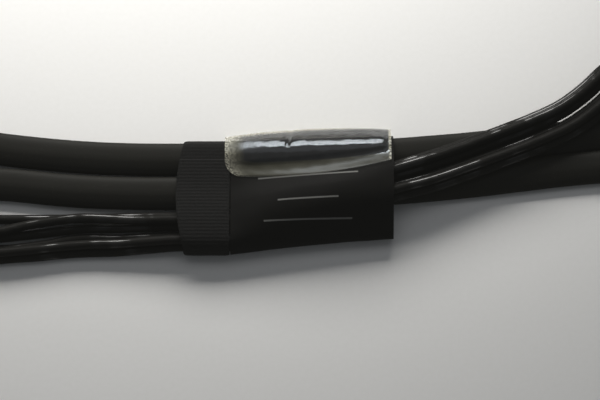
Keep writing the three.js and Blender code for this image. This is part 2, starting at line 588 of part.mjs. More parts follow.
// One board plug: a moulded relief that narrows towards the cable, a body with one slot, and a spring latch
function boardPlug(number, cable) {
  const group = new THREE.Group();
  const end = new THREE.Vector3(...cable[cable.length - 1]);
  const reliefStart = end.x + PLUG_GAP;
  const bodyStart = reliefStart + BOARD_RELIEF_LENGTH + SEAM;
  const face = bodyStart + BOARD_BODY_LENGTH;
  const centre = new THREE.Vector3(0, end.y, end.z);

  const plan = new THREE.Shape();
  const reliefHeight = BOARD_PLUG_HEIGHT - RELIEF_INSET;
  plan.moveTo(0, -BOARD_RELIEF_WIDTH / 2);
  plan.lineTo(BOARD_RELIEF_STRAIGHT, -BOARD_RELIEF_WIDTH / 2);
  plan.lineTo(BOARD_RELIEF_LENGTH, -BOARD_PLUG_WIDTH / 2);
  plan.lineTo(BOARD_RELIEF_LENGTH, BOARD_PLUG_WIDTH / 2);
  plan.lineTo(BOARD_RELIEF_STRAIGHT, BOARD_RELIEF_WIDTH / 2);
  plan.lineTo(0, BOARD_RELIEF_WIDTH / 2);
  const relief = new THREE.ExtrudeGeometry(plan, {
    depth: reliefHeight - 2 * EDGE,
    bevelThickness: EDGE,
    bevelSize: EDGE,
    bevelOffset: -EDGE,
    bevelSegments: 1,
  });
  relief.translate(reliefStart, end.y, end.z - reliefHeight / 2 + EDGE);
  group.add(piece(`board_plug_${number}_relief`, relief, material(COLOURS.relief, 0.6)));

  const block = prismAlongX(roundedRectangle(BOARD_PLUG_WIDTH, BOARD_PLUG_HEIGHT, CORNER), BOARD_BODY_LENGTH, EDGE);
  block.translate(bodyStart, end.y, end.z);
  const body = cutFrom(block, keyedSlot(DATA_WAYS, centre, 1, face, -1));
  group.add(piece(`board_plug_${number}_body`, body, material(COLOURS.plastic, 0.45)));

  const latchLength = BOARD_BODY_LENGTH - 2 * EDGE;
  const latch = new THREE.ExtrudeGeometry(latchProfile(latchLength), { depth: LATCH_WIDTH, bevelEnabled: false });
  latch.rotateX(Math.PI / 2);
  latch.rotateZ(Math.PI);
  latch.translate(face - EDGE, end.y - LATCH_WIDTH / 2, end.z + BOARD_PLUG_HEIGHT / 2 + LATCH_CLEARANCE);
  group.add(piece(`board_plug_${number}_latch`, latch, material(COLOURS.steel, 0.3, 1)));

  const contacts = contactRow(DATA_WAYS, centre, face, -1);
  group.add(piece(`board_plug_${number}_contacts`, contacts, material(COLOURS.contact, 0.3, 1)));
  return group;
}

// A square bar along X, for a cavity or a bore
function squareBar(startX, endX, y, z, size) {
  return boxBetween([startX, y - size / 2, z - size / 2], [endX, y + size / 2, z + size / 2]);
}

// The six-way power plug: a housing with a cavity for each wire, a thumb latch on top, and a socket in each cavity
function powerPlug(routes) {
  const group = new THREE.Group();
  const ends = routes.map((route) => new THREE.Vector3(...route[route.length - 1]));
  const middle = new THREE.Box3().setFromPoints(ends).getCenter(new THREE.Vector3());
  const start = ends[0].x - WIRE_IN_PLUG;
  const width = POWER_COLUMNS * POWER_PITCH + POWER_WALL;
  const height = POWER_ROWS * POWER_PITCH + POWER_WALL;

  const face = start + POWER_LENGTH;
  const block = prismAlongX(roundedRectangle(width, height, CORNER), POWER_LENGTH, EDGE);
  block.translate(start, middle.y, middle.z);
  const cavities = ends.map((end) => squareBar(start - EDGE, face + EDGE, end.y, end.z, CAVITY));
  const top = middle.z + height / 2;
  const post = boxBetween(
    [start + THUMB_POST[0], middle.y - THUMB_WIDTH / 2, top - POWER_WALL / 2],
    [start + THUMB_POST[1], middle.y + THUMB_WIDTH / 2, top + THUMB_GAP + THUMB_THICKNESS / 2],
  );
  const thumb = boxBetween(
    [start + THUMB_ENDS[0], middle.y - THUMB_WIDTH / 2, top + THUMB_GAP],
    [start + THUMB_ENDS[1], middle.y + THUMB_WIDTH / 2, top + THUMB_GAP + THUMB_THICKNESS],
  );
  const shell = solidOf(cutFrom(block, cavities));
  const housing = geometryOf(shell.add(solidOf(post)).add(solidOf(thumb)));
  group.add(piece('power_plug_housing', housing, material(COLOURS.plastic, 0.45)));

  ends.forEach((end, i) => {
    const rear = end.x + PLUG_GAP;
    const mouth = face - TERMINAL_INSET;
    const tube = squareBar(rear, mouth, end.y, end.z, TERMINAL);
    const bore = squareBar(rear + TERMINAL, mouth + EDGE, end.y, end.z, TERMINAL - 2 * TERMINAL_WALL);
    group.add(piece(`power_plug_socket_${i + 1}`, cutFrom(tube, [bore]), material(COLOURS.contact, 0.35, 1)));
  });
  return group;
}

// The whole harness, moved so that the wrapped section is centred on the origin
const harness = new THREE.Group();
harness.position.y = -WRAP_MIDDLE;
harness.add(piece('ribbed_band', ribbedBand(), material(COLOURS.band, 0.8)));
harness.add(piece('label_sleeve', labelSleeve(), material(COLOURS.sleeve, 0.5)));
harness.add(piece('clear_label_tail', clearTail(), material(COLOURS.film, 0.15)));
harness.add(piece('data_cable_1', flatCable(UPPER_CABLE), material(COLOURS.jacket, 0.45)));
harness.add(piece('data_cable_2', flatCable(LOWER_CABLE), material(COLOURS.jacket, 0.45)));
WIRES.forEach((route, i) => {
  harness.add(piece(`power_wire_${i + 1}`, wire(route), material(COLOURS.wire, 0.25)));
});
harness.add(drivePlug(1, UPPER_CABLE, WIRES.slice(0, 3)));
harness.add(drivePlug(2, LOWER_CABLE, WIRES.slice(3)));
harness.add(boardPlug(1, UPPER_CABLE));
harness.add(boardPlug(2, LOWER_CABLE));
harness.add(powerPlug(WIRES));

export default harness;
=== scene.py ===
# A drive cable harness, laid out on a pale table: two flat data cables and six power wires in one wrap.
from math import cos, pi, radians, sin, sqrt

import bpy
import numpy as np
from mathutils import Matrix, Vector


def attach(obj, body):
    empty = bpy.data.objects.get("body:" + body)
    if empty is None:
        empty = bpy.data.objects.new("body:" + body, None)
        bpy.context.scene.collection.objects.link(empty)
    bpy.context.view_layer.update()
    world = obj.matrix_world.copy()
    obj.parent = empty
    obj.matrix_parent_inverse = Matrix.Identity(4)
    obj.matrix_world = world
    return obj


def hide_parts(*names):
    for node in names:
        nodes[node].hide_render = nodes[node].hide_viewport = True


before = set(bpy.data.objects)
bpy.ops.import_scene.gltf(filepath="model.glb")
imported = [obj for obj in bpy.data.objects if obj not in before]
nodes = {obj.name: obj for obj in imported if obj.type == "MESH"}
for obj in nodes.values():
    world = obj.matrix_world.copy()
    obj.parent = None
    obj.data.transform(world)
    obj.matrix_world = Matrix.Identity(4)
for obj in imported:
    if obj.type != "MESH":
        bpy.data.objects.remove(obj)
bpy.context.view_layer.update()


# The camera: a long lens that looks down on the wrapped section, square to the cables and a little from the
# near side, so that 135 mm of the harness fill the picture.
VIEW_WIDTH = 0.135
VIEW_DISTANCE = 0.9
VIEW_ELEVATION = radians(75)
view_centre = Vector((0.0035, -0.0019, 0.0025))
towards_camera = Vector((0, -cos(VIEW_ELEVATION), sin(VIEW_ELEVATION)))
bpy.ops.object.camera_add(location=view_centre + VIEW_DISTANCE * towards_camera)
camera = bpy.context.object
camera.rotation_euler = towards_camera.to_track_quat("Z", "Y").to_euler()
camera.data.lens = camera.data.sensor_width * VIEW_DISTANCE / VIEW_WIDTH
camera.data.clip_start = 0.05
bpy.context.scene.camera = camera


# The two flat data cables: each is a pair of shielded cores side by side in one smooth black vinyl jacket,
# flat on its far half and sloping on its near half. They lie on the table and go through the wrap together,
# and each is moulded into a drive plug at one end and a board plug at the other.
FLAT_WIDTH = 0.0074
FLAT_THICKNESS = 0.0032
FLAT_ROUNDNESS = 2.9
NEAR_SLOPE = 0.27
NEAR_SLOPE_WIDTH = 0.0026
RIDGE_PLACE = -0.0004
UPPER_CABLE = [
    (-0.1477, 0.0253, 0.0027), (-0.138, 0.0253, 0.0025), (-0.126, 0.0245, 0.0019),
    (-0.112, 0.0216, 0.00165), (-0.098, 0.0175, 0.00165), (-0.084, 0.0139, 0.00165),
    (-0.072, 0.0115, 0.00165), (-0.0633, 0.0101, 0.00165), (-0.0505, 0.0087, 0.00165),
    (-0.0415, 0.00805, 0.0017), (-0.032, 0.00765, 0.0021), (-0.024, 0.0075, 0.00255),
    (-0.012, 0.0076, 0.00255), (0.0035, 0.0079, 0.00255), (0.0244, 0.0087, 0.00255),
    (0.0327, 0.00945, 0.00215), (0.042, 0.0104, 0.0017), (0.052, 0.0116, 0.00165), (0.062, 0.0128, 0.00165),
    (0.071, 0.0138, 0.00165), (0.084, 0.0154, 0.00165), (0.1, 0.0172, 0.00165), (0.118, 0.0182, 0.00165),
    (0.136, 0.0183, 0.0018), (0.148, 0.0183, 0.0023), (0.1577, 0.0183, 0.0026),
]
LOWER_CABLE = [
    (-0.1477, -0.0017, 0.0027), (-0.138, -0.0017, 0.0025), (-0.126, -0.0016, 0.0019),
    (-0.112, -0.001, 0.00165), (-0.098, 0.0001, 0.00165), (-0.084, 0.0012, 0.00165),
    (-0.072, 0.0018, 0.00165), (-0.0633, 0.0019, 0.00165), (-0.0505, 0.00065, 0.00165),
    (-0.0415, 0.00005, 0.0017), (-0.032, -0.0003, 0.0021), (-0.024, -0.0004, 0.00255),
    (-0.012, -0.0003, 0.00255), (0.0035, 0, 0.00255), (0.0244, 0.0008, 0.00255), (0.0327, 0.0016, 0.00215),
    (0.042, 0.00265, 0.0017), (0.052, 0.0039, 0.00165), (0.062, 0.00515, 0.00165), (0.071, 0.006, 0.00165),
    (0.084, 0.0067, 0.00165), (0.1, 0.0064, 0.00165), (0.118, 0.005, 0.00165), (0.136, 0.0043, 0.0018),
    (0.148, 0.0043, 0.0023), (0.1577, 0.0043, 0.0026),
]


class Field:
    """A value that changes over a surface. Arithmetic on it adds Math nodes to its material."""

    def __init__(self, finish, socket):
        self.finish = finish
        self.socket = socket

    def maths(self, operation, first, second=None, clamped=False):
        values = {0: first} if second is None else {0: first, 1: second}
        return self.finish.node("ShaderNodeMath", {"operation": operation, "use_clamp": clamped}, values)

    def __add__(self, other):
        return self.maths("ADD", self, other)

    def __sub__(self, other):
        return self.maths("SUBTRACT", self, other)

    def __rsub__(self, other):
        return self.maths("SUBTRACT", other, self)

    def __mul__(self, other):
        return self.maths("MULTIPLY", self, other)

    def __truediv__(self, other):
        return self.maths("DIVIDE", self, other)

    __radd__ = __add__
    __rmul__ = __mul__

    def clamped(self):
        return self.maths("ADD", self, 0.0, clamped=True)

    def size(self):
        return self.maths("ABSOLUTE", self)

    def sine(self):
        return self.maths("SINE", self)

    def root(self):
        return self.maths("SQRT", self)

    def above(self, level, blur):
        """0 below level and 1 above it, with a soft step of the given width"""
        return ((self - level) / blur + 0.5).clamped()


class Finish:
    """A material with one Principled surface, and the nodes that vary it"""

    def __init__(self, name, slot, roughness, **sockets):
        self.slot = slot
        self.material = bpy.data.materials.new(name)
        self.material.use_nodes = True
        self.tree = self.material.node_tree
        self.surface = self.tree.nodes["Principled BSDF"]
        self.surface.inputs["Roughness"].default_value = roughness
        for socket, value in sockets.items():
            self.surface.inputs[socket.replace("_", " ")].default_value = value
        self.place = self.node("ShaderNodeTexCoord", output="Object")

    def node(self, kind, settings=None, values=None, output=0):
        made = self.tree.nodes.new(kind)
        for setting, value in (settings or {}).items():
            setattr(made, setting, value)
        for socket, value in (values or {}).items():
            if isinstance(value, Field):
                self.tree.links.new(value.socket, made.inputs[socket])
            else:
                made.inputs[socket].default_value = value
        return Field(self, made.outputs[output])

    def along(self, x_scale, y_scale, z_scale):
        """The surface's place, scaled on each axis: a scale below 1 stretches a pattern"""
        values = {"Vector": self.place, "Scale": (x_scale, y_scale, z_scale)}
        return self.node("ShaderNodeMapping", values=values)

    def noise(self, scale, detail=3.0, place=None):
        values = {"Vector": place or self.place, "Scale": scale, "Detail": detail}
        return self.node("ShaderNodeTexNoise", values=values)

    def axis(self, name, place=None):
        return self.node("ShaderNodeSeparateXYZ", values={0: place or self.place}, output=name)

    def mix(self, share, first, second):
        """A colour between two colours"""
        return self.node("ShaderNodeMix", {"data_type": "RGBA"}, {0: share, 6: first, 7: second}, output=2)

    def feed(self, socket, field):
        self.tree.links.new(field.socket, self.surface.inputs[socket])

    def bump(self, height, depth, strength):
        values = {"Height": height, "Distance": depth, "Strength": strength}
        return self.node("ShaderNodeBump", values=values)

    def put_on(self, *pieces):
        for piece in pieces:
            piece.data.materials.clear()
            piece.data.materials.append(self.material)


def smooth_route(points, per_span=24):
    """The centripetal Catmull-Rom curve through the points"""
    knots = np.array(points, float)
    knots = np.vstack([2 * knots[0] - knots[1], knots, 2 * knots[-1] - knots[-2]])
    line = []
    for a, b, c, d in zip(knots, knots[1:], knots[2:], knots[3:]):
        t1 = sqrt(np.linalg.norm(b - a))
        t2 = t1 + sqrt(np.linalg.norm(c - b))
        t3 = t2 + sqrt(np.linalg.norm(d - c))
        for t in np.linspace(t1, t2, per_span, endpoint=False):
            ab = a + (b - a) * t / t1
            bc = b + (c - b) * (t - t1) / (t2 - t1)
            cd = c + (d - c) * (t - t2) / (t3 - t2)
            abc = ab + (bc - ab) * t / t2
            bcd = bc + (cd - bc) * (t - t1) / (t3 - t1)
            line.append(abc + (bcd - abc) * (t - t1) / (t2 - t1))
    line.append(knots[-2])
    return np.array(line)


def even_steps(line, step):
    """The same line with its points about a step apart"""
    run = np.concatenate([[0], np.cumsum(np.linalg.norm(np.diff(line, axis=0), axis=1))])
    count = round(run[-1] / step)
    marks = np.linspace(0, run[-1], count + 1)
    return np.stack([np.interp(marks, run, line[:, i]) for i in range(line.shape[1])], 1), run[-1]


def oval_section(width, height, sides, roundness):
    """Corners of a closed section: an ellipse at roundness 2, squarer above it"""
    angles = (np.arange(sides) + 0.5) / sides * 2 * pi
    across, up = np.cos(angles), np.sin(angles)
    power = 2 / roundness
    across = width / 2 * np.sign(across) * abs(across) ** power
    up = height / 2 * np.sign(up) * abs(up) ** power
    return np.stack([across, up], 1)


def jacket(name, points, section, step):
    """A closed tube along a route, its section kept level. UV map: the length along it, the share round it"""
    line, length = even_steps(smooth_route(points), step)
    ahead = np.gradient(line, axis=0)
    ahead /= np.linalg.norm(ahead, axis=1)[:, None]
    side = np.array([0, 1, 0]) - ahead * ahead[:, 1:2]
    side /= np.linalg.norm(side, axis=1)[:, None]
    up = np.cross(ahead, side)
    sides = len(section)
    rings = line[:, None] + section[None, :, 0:1] * side[:, None] + section[None, :, 1:2] * up[:, None]
    faces = []
    places = []
    for i in range(len(line) - 1):
        for j in range(sides):
            k = (j + 1) % sides
            faces.append((i * sides + j, i * sides + k, (i + 1) * sides + k, (i + 1) * sides + j))
            near, far = i / (len(line) - 1) * length, (i + 1) / (len(line) - 1) * length
            places += [(near, j / sides), (near, (j + 1) / sides), (far, (j + 1) / sides), (far, j / sides)]
    faces += [tuple(range(sides))[::-1], tuple(range((len(line) - 1) * sides, len(line) * sides))]
    places += [(0, 0)] * (2 * sides)
    mesh = bpy.data.meshes.new(name)
    mesh.from_pydata(rings.reshape(-1, 3).tolist(), [], faces)
    mesh.uv_layers.new(name="UVMap").data.foreach_set("uv", np.array(places, float).ravel())
    piece = bpy.data.objects.new(name, mesh)
    bpy.context.scene.collection.objects.link(piece)
    turn_faces_outward(piece)
    return piece, line, length


def alone(piece):
    """Selects one piece and nothing else, and makes it the active one"""
    bpy.ops.object.select_all(action="DESELECT")
    piece.select_set(True)
    bpy.context.view_layer.objects.active = piece


def turn_faces_outward(piece):
    alone(piece)
    bpy.ops.object.mode_set(mode="EDIT")
    bpy.ops.mesh.select_all(action="SELECT")
    bpy.ops.mesh.normals_make_consistent(inside=False)
    bpy.ops.object.mode_set(mode="OBJECT")
    bpy.ops.object.shade_smooth_by_angle(angle=radians(50))


vinyl = Finish("flat_vinyl", "flat_jacket", 0.5, Specular_IOR_Level=0.07)
dull_patches = vinyl.noise(90, place=vinyl.along(0.25, 1, 1))
dust = vinyl.noise(2600, detail=1.0).above(0.735, 0.02)
greyed = (dust * 0.5 + dull_patches * 0.2).clamped()
vinyl.feed("Base Color", vinyl.mix(greyed, (0.0115, 0.0112, 0.0095, 1), (0.04, 0.039, 0.033, 1)))
vinyl.feed("Roughness", dull_patches * 0.16 + 0.45)
skin = vinyl.noise(1500, detail=4.0) * 0.5 + vinyl.noise(170, place=vinyl.along(0.3, 1, 1)) * 2.0
vinyl.feed("Normal", vinyl.bump(skin, 0.00005, 0.6))

flat_section = oval_section(FLAT_WIDTH, FLAT_THICKNESS, 64, FLAT_ROUNDNESS)
on_near_slope = np.maximum(RIDGE_PLACE - flat_section[:, 0], 0) * (flat_section[:, 1] > 0)
flat_section[:, 1] -= NEAR_SLOPE * np.minimum(on_near_slope, NEAR_SLOPE_WIDTH)
for number, route in ((1, UPPER_CABLE), (2, LOWER_CABLE)):
    cable, line, length = jacket(f"flat_cable_{number}", route, flat_section, 0.0016)
    vinyl.put_on(cable)
    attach(cable, "root")
    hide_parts(f"data_cable_{number}")


# The six power wires: thin stranded copper in glossy black vinyl, crimped into the power plug's sockets at
# one end and moulded into the drive plugs, three to each, at the other. They lie beside the flat cables up
# to the wrap, ride up inside it, and come out on top of the flat cables.
WIRE_DIAMETER = 0.0021
WIRES = [
    [
        (-0.1477, 0.0143, 0.0027), (-0.139, 0.0143, 0.0021), (-0.13, 0.0143, 0.0013),
        (-0.12, 0.0135, 0.0012), (-0.112, 0.0115, 0.0017), (-0.105, 0.0086, 0.0032),
        (-0.098, 0.0048, 0.0044), (-0.091, 0.0009, 0.00445), (-0.084, -0.0025, 0.0043),
        (-0.077, -0.0049, 0.0019), (-0.07, -0.0059, 0.00115), (-0.064, -0.00605, 0.0011),
        (-0.057, -0.00605, 0.0011), (-0.0505, -0.006, 0.0011), (-0.0445, -0.00585, 0.0011),
        (-0.038, -0.00575, 0.0012), (-0.031, -0.0057, 0.0017), (-0.0244, -0.0057, 0.0021),
        (-0.017, -0.0057, 0.00215), (-0.012, -0.00545, 0.0026), (-0.006, -0.0042, 0.00475),
        (0, -0.0026, 0.0053), (0.008, -0.00025, 0.0053), (0.016, 0.0023, 0.0053), (0.0244, 0.0052, 0.0053),
        (0.031, 0.0074, 0.005), (0.0379, 0.0098, 0.0046), (0.0478, 0.0136, 0.00445),
        (0.0557, 0.0168, 0.00445), (0.062, 0.0199, 0.0044), (0.0672, 0.0238, 0.0043),
        (0.071, 0.0275, 0.0041), (0.0765, 0.0323, 0.0033), (0.083, 0.0356, 0.0022), (0.091, 0.037, 0.0013),
        (0.1, 0.0369, 0.0011), (0.112, 0.0363, 0.0013), (0.123, 0.0357, 0.0022), (0.1355, 0.0355, 0.0027),
    ],
    [
        (-0.1477, 0.012, 0.0027), (-0.139, 0.012, 0.0021), (-0.13, 0.012, 0.0013), (-0.12, 0.0111, 0.0012),
        (-0.112, 0.0091, 0.0019), (-0.105, 0.006, 0.0037), (-0.098, 0.002, 0.00445),
        (-0.091, -0.0019, 0.0043), (-0.084, -0.0054, 0.0021), (-0.077, -0.0076, 0.0016),
        (-0.07, -0.0086, 0.00265), (-0.064, -0.0094, 0.0032), (-0.0604, -0.0085, 0.00295),
        (-0.056, -0.0076, 0.00295), (-0.0512, -0.0069, 0.0032), (-0.046, -0.00635, 0.0034),
        (-0.0408, -0.00645, 0.0034), (-0.035, -0.0068, 0.0035), (-0.0244, -0.00685, 0.004),
        (-0.017, -0.0069, 0.004), (-0.012, -0.0068, 0.00445), (-0.006, -0.00615, 0.0059),
        (0, -0.0043, 0.00685), (0.008, -0.0015, 0.00725), (0.016, 0.00115, 0.00725),
        (0.0244, 0.00405, 0.00725), (0.0314, 0.0063, 0.00695), (0.0383, 0.00875, 0.0065),
        (0.0482, 0.01255, 0.00635), (0.0562, 0.01575, 0.00635), (0.0626, 0.0189, 0.0063),
        (0.0679, 0.0229, 0.0062), (0.0718, 0.0267, 0.006), (0.0773, 0.0314, 0.0052),
        (0.0836, 0.0346, 0.0041), (0.0912, 0.03585, 0.0032), (0.1, 0.0358, 0.00305),
        (0.111, 0.0358, 0.0039), (0.123, 0.0356, 0.0061), (0.1355, 0.0355, 0.0069),
    ],
    [
        (-0.1477, 0.0097, 0.0027), (-0.139, 0.0097, 0.0021), (-0.13, 0.00965, 0.0013),
        (-0.12, 0.0087, 0.0014), (-0.112, 0.0065, 0.0028), (-0.105, 0.0029, 0.0044),
        (-0.098, -0.0014, 0.00455), (-0.0945, -0.0036, 0.00385), (-0.091, -0.0055, 0.0021),
        (-0.084, -0.0083, 0.0012), (-0.077, -0.0099, 0.0011), (-0.07, -0.0105, 0.0011),
        (-0.064, -0.0104, 0.0011), (-0.06, -0.01, 0.0011), (-0.0555, -0.0095, 0.0011),
        (-0.05, -0.0088, 0.0011), (-0.0445, -0.0082, 0.0011), (-0.0385, -0.0082, 0.0012),
        (-0.031, -0.0081, 0.0017), (-0.0244, -0.008, 0.0021), (-0.012, -0.0078, 0.0021),
        (-0.006, -0.0066, 0.0024), (0, -0.0049, 0.0039), (0.008, -0.0026, 0.0053),
        (0.016, -0.00005, 0.0053), (0.0244, 0.00285, 0.0053), (0.0317, 0.00515, 0.005),
        (0.0387, 0.00765, 0.0046), (0.0486, 0.01145, 0.00445), (0.0566, 0.0147, 0.00445),
        (0.0631, 0.0179, 0.0044), (0.0687, 0.0221, 0.0043), (0.0726, 0.0259, 0.0041),
        (0.0781, 0.0304, 0.0033), (0.0842, 0.0334, 0.0022), (0.0914, 0.03465, 0.0013),
        (0.1, 0.0346, 0.0011), (0.112, 0.0336, 0.0013), (0.123, 0.0318, 0.0022), (0.1355, 0.0313, 0.0027),
    ],
    [
        (-0.1477, -0.0122, 0.0027), (-0.138, -0.0122, 0.0021), (-0.126, -0.0122, 0.0012),
        (-0.11, -0.0122, 0.0011), (-0.094, -0.0125, 0.0011), (-0.082, -0.0131, 0.0011),
        (-0.072, -0.0134, 0.0011), (-0.064, -0.0131, 0.0011), (-0.06, -0.01275, 0.0011),
        (-0.0532, -0.0118, 0.0011), (-0.0494, -0.0111, 0.0011), (-0.0447, -0.0105, 0.0011),
        (-0.0381, -0.01065, 0.0012), (-0.031, -0.01045, 0.0017), (-0.0244, -0.0103, 0.0021),
        (-0.017, -0.0103, 0.0021), (-0.012, -0.0101, 0.0021), (-0.006, -0.00895, 0.0021),
        (0, -0.0073, 0.0021), (0.008, -0.00495, 0.004), (0.016, -0.0024, 0.00525), (0.0244, 0.0005, 0.0053),
        (0.0325, 0.00285, 0.005), (0.0395, 0.0054, 0.0046), (0.0495, 0.00925, 0.00445),
        (0.0576, 0.0125, 0.00445), (0.0643, 0.0158, 0.0044), (0.0702, 0.0202, 0.0043),
        (0.0742, 0.0241, 0.0041), (0.0798, 0.0286, 0.0033), (0.0855, 0.0313, 0.0022),
        (0.0918, 0.03235, 0.0013), (0.1, 0.0323, 0.00115), (0.111, 0.0315, 0.0028), (0.123, 0.0313, 0.0058),
        (0.1355, 0.0313, 0.0069),
    ],
    [
        (-0.1477, -0.0145, 0.0027), (-0.138, -0.0145, 0.0021), (-0.126, -0.0145, 0.0012),
        (-0.11, -0.01455, 0.0011), (-0.094, -0.0149, 0.00115), (-0.082, -0.0152, 0.0018),
        (-0.072, -0.015, 0.0028), (-0.064, -0.0143, 0.00305), (-0.056, -0.0135, 0.00295),
        (-0.049, -0.0127, 0.0028), (-0.043, -0.0123, 0.00285), (-0.037, -0.0122, 0.00305),
        (-0.031, -0.0118, 0.00355), (-0.0244, -0.0115, 0.00398), (-0.017, -0.0115, 0.00398),
        (-0.012, -0.0113, 0.00398), (-0.006, -0.0101, 0.00405), (0, -0.0085, 0.0041),
        (0.008, -0.0064, 0.0058), (0.016, -0.0039, 0.007), (0.0244, -0.0008, 0.0073),
        (0.0329, 0.0016, 0.0069), (0.0399, 0.00415, 0.00645), (0.05, 0.008, 0.0063),
        (0.0582, 0.0113, 0.0063), (0.065, 0.0146, 0.00625), (0.0711, 0.0192, 0.00615),
        (0.0752, 0.0232, 0.00595), (0.0805, 0.0276, 0.00515), (0.086, 0.03025, 0.00405),
        (0.092, 0.0312, 0.0032), (0.1, 0.0311, 0.00305), (0.111, 0.0295, 0.0041), (0.123, 0.0279, 0.0062),
        (0.1355, 0.0271, 0.0069),
    ],
    [
        (-0.1477, -0.0168, 0.0027), (-0.138, -0.0168, 0.0021), (-0.126, -0.0168, 0.0012),
        (-0.11, -0.0169, 0.0011), (-0.094, -0.0173, 0.0011), (-0.082, -0.0174, 0.0011),
        (-0.072, -0.0166, 0.0011), (-0.064, -0.0154, 0.0011), (-0.0555, -0.01475, 0.0011),
        (-0.0467, -0.0139, 0.0011), (-0.038, -0.01365, 0.0012), (-0.031, -0.0132, 0.0017),
        (-0.0244, -0.0127, 0.0021), (-0.017, -0.0127, 0.0021), (-0.012, -0.0125, 0.0021),
        (-0.006, -0.0113, 0.0021), (0, -0.0097, 0.0021), (0.008, -0.0075, 0.0021), (0.016, -0.005, 0.0045),
        (0.0244, -0.00205, 0.0052), (0.0333, 0.0003, 0.005), (0.0404, 0.00285, 0.0046),
        (0.0505, 0.0067, 0.00445), (0.0587, 0.01, 0.00445), (0.0657, 0.0134, 0.0044),
        (0.072, 0.0181, 0.0043), (0.0761, 0.0221, 0.0041), (0.0813, 0.0265, 0.0033),
        (0.0866, 0.029, 0.0022), (0.0922, 0.03, 0.0013), (0.1, 0.0299, 0.0011), (0.112, 0.0287, 0.0013),
        (0.123, 0.0274, 0.0022), (0.1355, 0.0271, 0.0027),
    ],
]

gloss_vinyl = Finish("gloss_vinyl", "wire_jacket", 0.45, Specular_IOR_Level=0.03, Coat_Roughness=0.09)
smears = gloss_vinyl.noise(160, place=gloss_vinyl.along(0.3, 1, 1))
polished = gloss_vinyl.noise(150, detail=2.0, place=gloss_vinyl.along(0.8, 1, 1)).above(0.58, 0.08)
specks = gloss_vinyl.noise(3000, detail=1.0).above(0.74, 0.02)
greyed = (specks * 0.5 + smears * 0.1).clamped()
gloss_vinyl.feed("Base Color", gloss_vinyl.mix(greyed, (0.0105, 0.0102, 0.0094, 1), (0.04, 0.038, 0.034, 1)))
gloss_vinyl.feed("Coat Weight", polished * 0.6)
drawn = gloss_vinyl.noise(330, place=gloss_vinyl.along(0.35, 1, 1)) * 3.5 + gloss_vinyl.noise(1500) * 0.3
gloss_vinyl.feed("Normal", gloss_vinyl.bump(drawn, 0.0001, 0.9))

round_section = oval_section(WIRE_DIAMETER, WIRE_DIAMETER, 20, 2)
for number, route in enumerate(WIRES, 1):
    power_wire, line, length = jacket(f"round_wire_{number}", route, round_section, 0.0012)
    gloss_vinyl.put_on(power_wire)
    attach(power_wire, "root")
    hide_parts(f"power_wire_{number}")


# The ribbed band: woven black tape wound round the whole bundle. Its ribs run along the cables, and its
# outer end is stuck down on the far side of the top, where a smoother layer shows beyond it.
BAND_START = -0.0244
BAND_WIDTH = 0.0121
BAND_WALL = 0.00045
BAND_BULGE = 0.0019
RIB_PITCH = 0.00078
RIB_HEIGHT = 0.00025
WRAP_STATIONS = (-0.012, 0.006, 0.0244)
WRAP_OUTLINES = [
    [
        (0.0115, 0.0025), (0.0106, 0.0041), (0.0063, 0.0045), (0.0008, 0.0047), (-0.0039, 0.0054),
        (-0.0082, 0.00575), (-0.0123, 0.0052), (-0.0143, 0.003), (-0.0134, 0.00095), (-0.0077, 0.0007),
        (-0.0007, 0.0007), (0.0063, 0.0007), (0.0107, 0.00092),
    ],
    [
        (0.01205, 0.0025), (0.0112, 0.0043), (0.0079, 0.0053), (0.0033, 0.0071), (-0.0007, 0.00875),
        (-0.0045, 0.0086), (-0.0089, 0.006), (-0.0121, 0.0029), (-0.0112, 0.001), (-0.0067, 0.0007),
        (-0.0002, 0.0007), (0.0068, 0.0007), (0.0113, 0.00092),
    ],
    [
        (0.01265, 0.0025), (0.0119, 0.0044), (0.0091, 0.0063), (0.0051, 0.00845), (0.0011, 0.0088),
        (-0.0023, 0.0083), (-0.0071, 0.0052), (-0.0106, 0.0027), (-0.0097, 0.001), (-0.0057, 0.0007),
        (0.0003, 0.0007), (0.0073, 0.0007), (0.0119, 0.00095),
    ],
]


def corners_at(outlines, x):
    """The outline's corners at x, by the parabola through the three stations"""
    a, b, c = WRAP_STATIONS
    weights = (
        (x - b) * (x - c) / ((a - b) * (a - c)),
        (x - a) * (x - c) / ((b - a) * (b - c)),
        (x - a) * (x - b) / ((c - a) * (c - b)),
    )
    return sum(weight * np.array(outline) for weight, outline in zip(weights, outlines))


def ring_at(x, count):
    """Points [y, z] inside the wrap at x, from the near side over the top, with their outward normals"""
    corners = corners_at(WRAP_OUTLINES, x)
    turns = np.vstack([corners[-3:], corners, corners[:4]])
    line = smooth_route(turns)[3 * 24:(3 + len(corners)) * 24 + 1]
    ring = even_steps(line[::-1], 1e-5)[0]
    marks = np.linspace(0, len(ring) - 1, count + 1)
    ring = np.stack([np.interp(marks, np.arange(len(ring)), ring[:, i]) for i in (0, 1)], 1)
    ring[:, 1] = np.maximum(ring[:, 1], BAND_WALL + RIB_HEIGHT)
    onward = np.roll(ring[:-1], -1, axis=0) - np.roll(ring[:-1], 1, axis=0)
    onward = np.vstack([onward, onward[:1]])
    onward /= np.linalg.norm(onward, axis=1)[:, None]
    return ring, np.stack([-onward[:, 1], onward[:, 0]], 1)


